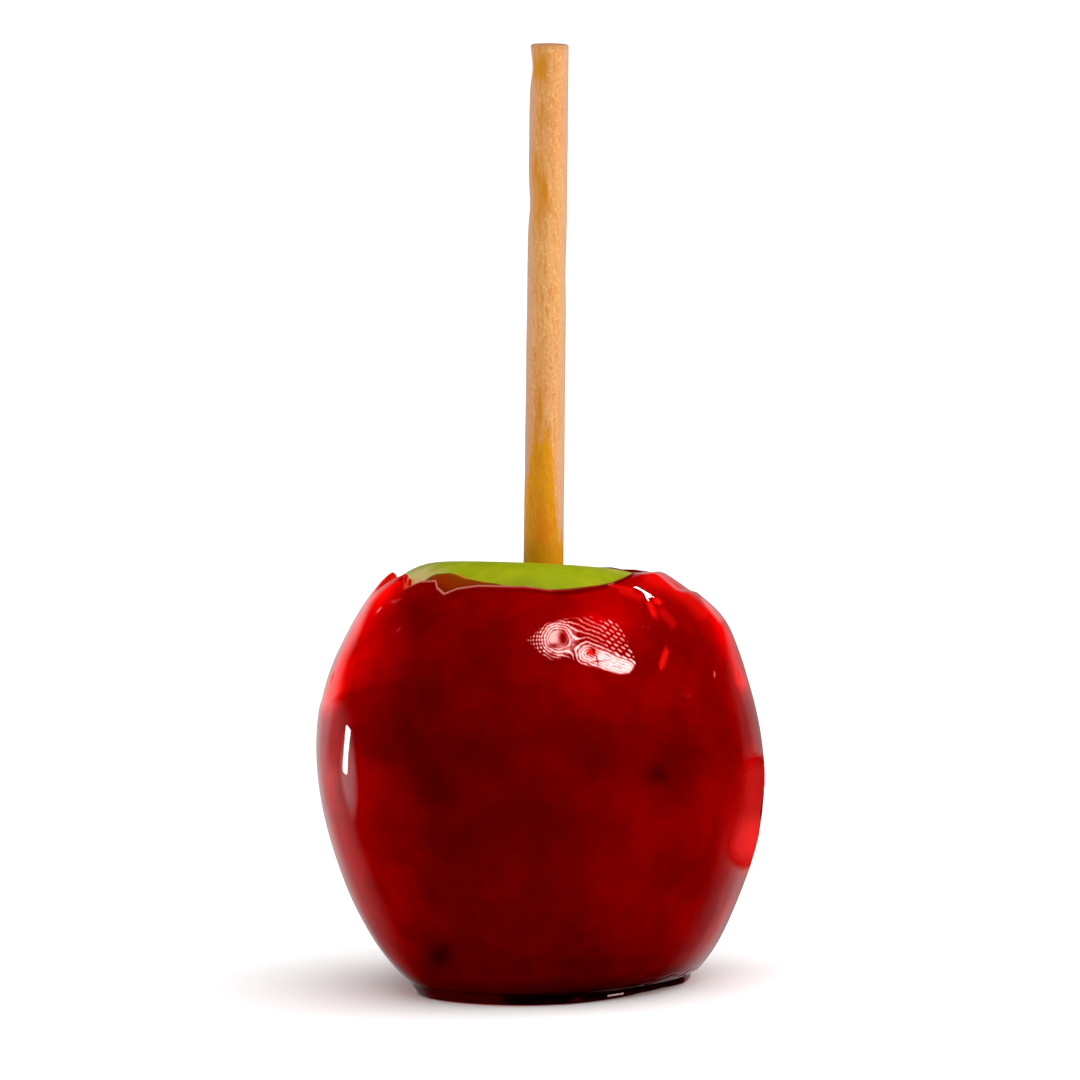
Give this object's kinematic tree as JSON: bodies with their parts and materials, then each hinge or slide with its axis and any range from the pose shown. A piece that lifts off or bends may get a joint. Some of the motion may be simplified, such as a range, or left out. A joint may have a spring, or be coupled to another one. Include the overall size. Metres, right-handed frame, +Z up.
{
  "type": "toffee apple",
  "caption": "Green apple on a round wooden stick, dipped in hard clear red toffee that set as a glassy shell with a torn upper edge and a flat foot it stands on",
  "frame": {"origin": "centre of the flat underside of the toffee foot, on the surface it stands on", "axes": "+Z up through the apple's core; -Y is the front, the side the low torn edge and the bare green crown face; +X is to the right seen from the front, and the stick leans about 3 degrees that way"},
  "size_m": [0.0737, 0.0744, 0.1553],
  "materials": {
    "apple_skin": "waxy yellow-green fruit skin, faintly mottled, browned by toffee at its edge",
    "red_toffee": "clear deep red hard sugar, wet gloss, with small bubbles and a crinkled patch",
    "stick_wood": "raw pale dowel, fine straight grain, stained amber by toffee"
  },
  "bodies": {
    "root": {"apple": "apple_skin", "candy_shell": "red_toffee", "stick": "stick_wood"}
  },
  "joints": []
}
